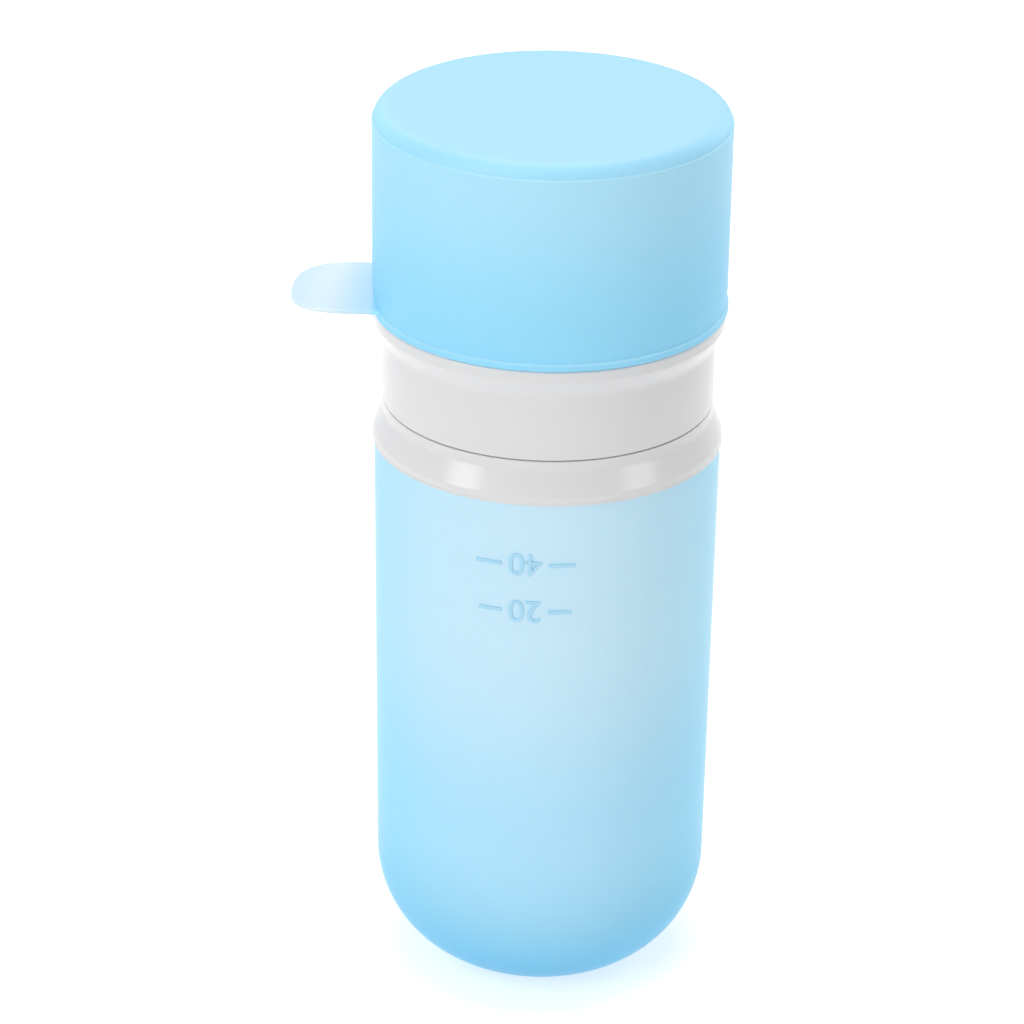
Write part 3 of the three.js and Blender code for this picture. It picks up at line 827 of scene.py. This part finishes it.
class BOTTLE_OT_head(bpy.types.Operator):
    """Make the screw head, its gasket and the two halves of the ball socket"""
    bl_idname = "bottle.head"
    bl_label = "Roller head"

    def execute(self, context):
        s = context.scene.bottle_sizes
        self.housing(s)
        self.gasket()
        self.seat(s)
        self.retainer(s)
        return {"FINISHED"}

    def housing(self, s):
        """The screw head: a threaded skirt under a floor, and a cup for the ball over it."""
        low = collar_span(s)[1] + s.parting
        lip = head_lip(s)
        top = HEAD_HIGH.z
        lip_radius = HEAD_HIGH.x
        cup = RETAINER_HIGH.x
        centre, radius = ball_place()
        feed_gap = 0.5 * MM
        opening = math.sqrt((radius + s.socket_play + feed_gap) ** 2 - (centre - lip) ** 2)
        floor_low = lip - s.floor
        lip_low = lip - s.lip_height
        lead_in = 0.5 * MM
        corners = [
            (s.skirt_bore, low, SOFT),
            (s.band_radius, low, s.band_edge),
            (s.band_radius, lip_low - s.flare_height, FLARE_ROUND),
            (lip_radius, lip_low, BLUNT),
            (lip_radius, lip, s.lip_edge),
            (cup, lip, SOFT),
            (cup, top, PLAIN),
            (s.cup_bore, top, PLAIN),
            (s.cup_bore, lip, SOFT),
            (opening, lip, PLAIN),
            (opening, floor_low, PLAIN),
            (s.skirt_bore, floor_low, 0),
            *wall_run(s.skirt_bore, floor_low, low + lead_in),
            (s.skirt_bore, low + lead_in, 0),
        ]
        ridge_low = HEAD_LOW.z + HEAD_RUN_IN
        turns = (GASKET_LOW.z - ridge_low - HEAD_RUN_OUT) / s.pitch
        shift = thread_shift(s.skirt_bore, ridge_low, turns, False)
        turned("roller_housing", corners, finish("white_plastic"), "white_plastic", "roller_head",
               "head_collar", shift=shift)

    def gasket(self):
        """The soft washer on the spout's rim."""
        width = 1.65 * MM
        inner = GASKET_HIGH.x - width
        corners = [
            (inner, GASKET_LOW.z, SMOOTH),
            (GASKET_HIGH.x, GASKET_LOW.z, SMOOTH),
            (GASKET_HIGH.x, GASKET_HIGH.z, SMOOTH),
            (inner, GASKET_HIGH.z, SMOOTH),
        ]
        turned("spout_gasket", corners, finish("seal_silicone"), "seal_silicone", "head_seal", "head_gasket")

    def seat(self, s):
        """The lower half of the ball's socket, with slots that feed the ball."""
        centre, radius = ball_place()
        socket = radius + s.socket_play
        low_turn = math.asin((SEAT_LOW.z - centre) / socket)
        high_turn = math.asin((SEAT_HIGH.z - centre) / socket)
        corners = [
            (SEAT_HIGH.x, SEAT_LOW.z, PLAIN),
            (SEAT_HIGH.x, SEAT_HIGH.z, PLAIN),
            *arc(centre, socket, high_turn, low_turn),
        ]
        reach = socket + s.feed_depth
        slot_side = 0.15 * MM

        def slots(turn, out, height):
            """Moves the socket's points out in the slots, whose sides slope a little."""
            if out > socket + SAME_WALL:
                return 0
            pitch = 2 * math.pi / s.feed_slots
            off = abs((turn % pitch) - pitch / 2) * socket
            cut = max(0, min(1, (s.feed_width / 2 - off) / slot_side + 0.5))
            return (reach - out) * cut
        turned("ball_seat_ring", corners, finish("white_plastic"), "white_plastic", "roller_head",
               "ball_seat", shift=slots)

    def retainer(self, s):
        """The snap ring on the cup's rim, which is the upper half of the ball's socket."""
        centre, radius = ball_place()
        socket = radius + s.socket_play
        flange_low = RETAINER_HIGH.z - s.retainer_flange
        low_turn = math.asin((RETAINER_LOW.z - centre) / socket)
        high_turn = math.asin((flange_low - centre) / socket)
        mouth = socket * math.cos(high_turn)
        bevel = 0.5 * MM
        corners = [
            (SEAT_HIGH.x, RETAINER_LOW.z, PLAIN),
            (SEAT_HIGH.x, flange_low, FINE),
            (RETAINER_HIGH.x, flange_low, NEAT),
            (RETAINER_HIGH.x, RETAINER_HIGH.z, BLUNT),
            (mouth + bevel, RETAINER_HIGH.z, BLUNT),
            *arc(centre, socket, high_turn, low_turn),
        ]
        turned("ball_snap_ring", corners, finish("white_plastic"), "white_plastic", "roller_head",
               "ball_retainer")


class BOTTLE_OT_ball(bpy.types.Operator):
    """Make the roller ball"""
    bl_idname = "bottle.ball"
    bl_label = "Roller ball"

    def execute(self, context):
        centre, radius = ball_place()
        steps = 96
        corners = []
        for step in range(steps + 1):
            turn = -math.pi / 2 + math.pi * step / steps
            out = 0 if step in (0, steps) else radius * math.cos(turn)
            corners.append((out, centre + radius * math.sin(turn), 0))
        turned("polished_ball", corners, finish("ball_plastic"), "ball_plastic", "ball", "roller_ball")
        return {"FINISHED"}


class BOTTLE_OT_cap(bpy.types.Operator):
    """Make the cap with its rim, its pull tab and its seal ring"""
    bl_idname = "bottle.cap"
    bl_label = "Cap"

    def execute(self, context):
        s = context.scene.bottle_sizes
        self.shell(s)
        self.tab(s)
        self.seal()
        return {"FINISHED"}

    def shell(self, s):
        """The soft cap: a groove for the seal in its ceiling, a bead round its rim, and a creased corner."""
        rim = head_lip(s) + s.fine_gap
        top = CAP_HIGH.z
        out = s.cap_radius
        lip = CAP_HIGH.y
        bore = out - s.cap_wall
        ceiling = top - s.cap_top_wall
        groove_depth = 0.8 * MM
        groove_width = 2.2 * MM
        seal_play = 0.1 * MM
        groove = ceiling + groove_depth
        seal_out = SEAL_HIGH.x + seal_play
        seal_in = seal_out - groove_width
        rim_nick = 0.1 * MM
        rim_run = 2 * MM
        crease_run = 1.5 * MM
        crease = top - s.cap_shoulder
        bevel = s.cap_bevel / 2
        ring = out - bevel
        corners = [
            (0, ceiling, 0),
            (seal_in, ceiling, FINE),
            (seal_in, groove, FINE),
            (seal_out, groove, FINE),
            (seal_out, ceiling, FINE),
            (bore, ceiling, WIDE),
            (bore, rim, SMOOTH),
            (lip, rim, SMOOTH),
            (lip, rim + s.rim_height - bevel, FINE),
            (out - rim_nick, rim + s.rim_height + bevel, NEAT),
            (out, rim + s.rim_height + rim_run, WIDE),
            (out, crease - crease_run, WIDE),
            (out + bevel / 2, crease - bevel, HAIR),
            (ring, crease + bevel, HAIR),
            (ring - (s.cap_shoulder - bevel) * math.tan(s.cap_lean), top, s.cap_round),
            (0, top, 0),
        ]
        turned("cap_dome", corners, finish("cap_silicone"), "cap_silicone", "cap", "cap_shell")

    def tab(self, s):
        """A thin tongue with a round end and rounded edges, rooted in the cap's wall."""
        cover = 0.15 * MM
        root = s.cap_radius - s.cap_wall + cover
        wall = math.sqrt(s.cap_radius ** 2 - (s.tab_width / 2) ** 2) - root
        length = -CAP_LOW.x - root
        # Facets across the tab, along it and round each of its edges.
        across, along, edge = 40, 72, 8
        outline = []
        for step in range(along + 1):
            run = length * math.sin(step / along * math.pi / 2)
            into = max(0, run - (length - s.tab_round)) / s.tab_round
            half = s.tab_width / 2 * max(0, 1 - into ** TAB_FULLNESS) ** (1 / TAB_FULLNESS)
            near = max(0, 1 - max(0, run - wall) / s.tab_fillet)
            outline.append((run, half + s.tab_fillet * (1 - math.sqrt(1 - near ** 2))))
        vertices = []
        rows = []
        for run, half in outline:
            drop = -s.tab_droop * (run / length) ** 2
            soft = (s.tab_root + (s.tab_tip - s.tab_root) * run / length) / 2
            inner = max(half - soft, 0)
            section = []
            for i in range(across + 1):
                section.append((inner * (2 * i / across - 1), soft))
            for i in range(1, edge):
                turn = math.pi / 2 - math.pi * i / edge
                section.append((inner + min(half, soft) * math.cos(turn), soft * math.sin(turn)))
            for i in range(across + 1):
                section.append((inner * (1 - 2 * i / across), -soft))
            for i in range(1, edge):
                turn = -math.pi / 2 - math.pi * i / edge
                section.append((-inner + min(half, soft) * math.cos(turn), soft * math.sin(turn)))
            row = []
            for side, lift in section:
                row.append(len(vertices))
                vertices.append((-(root + run), side, s.tab_low + soft + drop + lift))
            rows.append(row)
        faces = []
        for low, high in zip(rows, rows[1:]):
            for i in range(len(low)):
                after = (i + 1) % len(low)
                faces.append((low[i], high[i], high[after], low[after]))
        faces.append(tuple(rows[0]))
        new_piece("pull_tab", vertices, faces, finish("tab_silicone"), "cap_silicone", "cap")

    def seal(self):
        """The soft ring in the cap's ceiling, whose foot follows the ball."""
        width = 2 * MM
        play = 0.3 * MM
        inner = SEAL_HIGH.x - width
        centre, radius = ball_place()
        press = radius + play
        corners = [
            (inner, centre + math.sqrt(press ** 2 - inner ** 2), PLAIN),
            (SEAL_HIGH.x, centre + math.sqrt(press ** 2 - SEAL_HIGH.x ** 2), SMOOTH),
            (SEAL_HIGH.x, SEAL_HIGH.z, FINE),
            (inner, SEAL_HIGH.z, FINE),
        ]
        turned("cap_seal_ring", corners, finish("seal_silicone"), "seal_silicone", "cap", "cap_seal")


def seen_rays(material):
    """1 for rays that show the background: to the camera, in a reflection or through a piece."""
    path = node(material, "ShaderNodeLightPath")
    seen = path.outputs["Is Camera Ray"]
    for other in ("Is Glossy Ray", "Is Transmission Ray"):
        either = node(material, "ShaderNodeMath", operation="MAXIMUM")
        link(material, seen, either.inputs[0])
        link(material, path.outputs[other], either.inputs[1])
        seen = either.outputs["Value"]
    return seen


class BOTTLE_OT_stage(bpy.types.Operator):
    """Make the floor, the lights and the camera"""
    bl_idname = "bottle.stage"
    bl_label = "Stage"

    def execute(self, context):
        stage = context.scene.bottle_stage
        context.scene.view_settings.view_transform = "Standard"
        self.floor(context, stage)
        self.world(context, stage)
        for name, width, place in LAMPS:
            self.lamp(context, f"{name}_light", getattr(stage, name), width, place)
        self.camera(context, stage)
        return {"FINISHED"}

    def floor(self, context, stage):
        """A pale floor, lifted to white where it is seen, which sends some light up to the bottle."""
        half = FLOOR_HALF
        low = -FLOOR_DROP
        corners = [(-half, -half, low), (half, -half, low), (half, half, low), (-half, half, low)]
        mesh = bpy.data.meshes.new("floor")
        mesh.from_pydata(corners, [], [(0, 1, 2, 3)])
        material, principled = shader("pale_floor")
        principled.inputs["Base Color"].default_value = (stage.floor, stage.floor, stage.floor, 1)
        principled.inputs["Roughness"].default_value = 0.9
        principled.inputs["Specular IOR Level"].default_value = 0
        principled.inputs["Emission Color"].default_value = (1, 1, 1, 1)
        lift = stretched(material, seen_rays(material), stage.floor_glow, stage.floor_lift)
        link(material, lift, principled.inputs["Emission Strength"])
        mesh.materials.append(material)
        floor = bpy.data.objects.new("floor", mesh)
        context.scene.collection.objects.link(floor)

    def world(self, context, stage):
        """White where it is seen, and an even light elsewhere."""
        world = bpy.data.worlds.new("studio")
        context.scene.world = world
        world.use_nodes = True
        background = world.node_tree.nodes["Background"]
        background.inputs["Color"].default_value = (1, 1, 1, 1)
        strength = stretched(world, seen_rays(world), stage.world, 1)
        link(world, strength, background.inputs["Strength"])

    def lamp(self, context, name, energy, width, place):
        """A round soft lamp, aimed at the middle of the bottle."""
        light = bpy.data.lights.new(name, "AREA")
        light.energy = energy
        light.shape = "DISK"
        light.size = width
        lamp = bpy.data.objects.new(name, light)
        lamp.location = place
        aim = Vector((0, 0, CAD_BOX[1].z / 2)) - Vector(place)
        lamp.rotation_euler = aim.to_track_quat("-Z", "Y").to_euler()
        context.scene.collection.objects.link(lamp)

    def camera(self, context, stage):
        """A camera in front of the bottle, which looks down on it."""
        data = bpy.data.cameras.new("camera")
        data.lens = stage.lens
        data.sensor_width = SENSOR
        data.clip_start = NEAR_LIMIT
        camera = bpy.data.objects.new("camera", data)
        turn = Matrix.Rotation(stage.azimuth + stage.pan, 4, "Z")
        turn = turn @ Matrix.Rotation(math.pi / 2 - stage.tilt, 4, "X")
        turn = turn @ Matrix.Rotation(stage.roll, 4, "Z")
        place = Matrix.Rotation(stage.azimuth, 4, "Z") @ Vector((0, -stage.distance, stage.height))
        camera.matrix_world = Matrix.Translation(place) @ turn
        context.scene.collection.objects.link(camera)
        context.scene.camera = camera


class BOTTLE_PT_panel(bpy.types.Panel):
    """The bottle's pieces, sizes and colours"""
    bl_idname = "BOTTLE_PT_panel"
    bl_label = "Roll-on bottle"
    bl_space_type = "VIEW_3D"
    bl_region_type = "UI"
    bl_category = "Bottle"

    def draw(self, context):
        for operator in OPERATORS:
            self.layout.operator(operator.bl_idname)
        for name, group in GROUPS.items():
            box = self.layout.box()
            for key in group.__annotations__:
                box.prop(getattr(context.scene, name), key)


GROUPS = {"bottle_sizes": BottleSizes, "bottle_colours": BottleColours, "bottle_stage": StageSettings}
OPERATORS = (
    BOTTLE_OT_body,
    BOTTLE_OT_marks,
    BOTTLE_OT_neck,
    BOTTLE_OT_head,
    BOTTLE_OT_ball,
    BOTTLE_OT_cap,
    BOTTLE_OT_stage,
)


def register():
    for item in (*GROUPS.values(), *OPERATORS, BOTTLE_PT_panel):
        bpy.utils.register_class(item)
    for name, group in GROUPS.items():
        setattr(bpy.types.Scene, name, PointerProperty(type=group))


def unregister():
    for name in GROUPS:
        delattr(bpy.types.Scene, name)
    for item in (BOTTLE_PT_panel, *reversed(OPERATORS), *reversed(GROUPS.values())):
        bpy.utils.unregister_class(item)


def main():
    register()
    bpy.ops.bottle.body()
    bpy.ops.bottle.marks()
    bpy.ops.bottle.neck()
    bpy.ops.bottle.head()
    bpy.ops.bottle.ball()
    bpy.ops.bottle.cap()
    bpy.ops.bottle.stage()


if __name__ == "__main__":
    main()
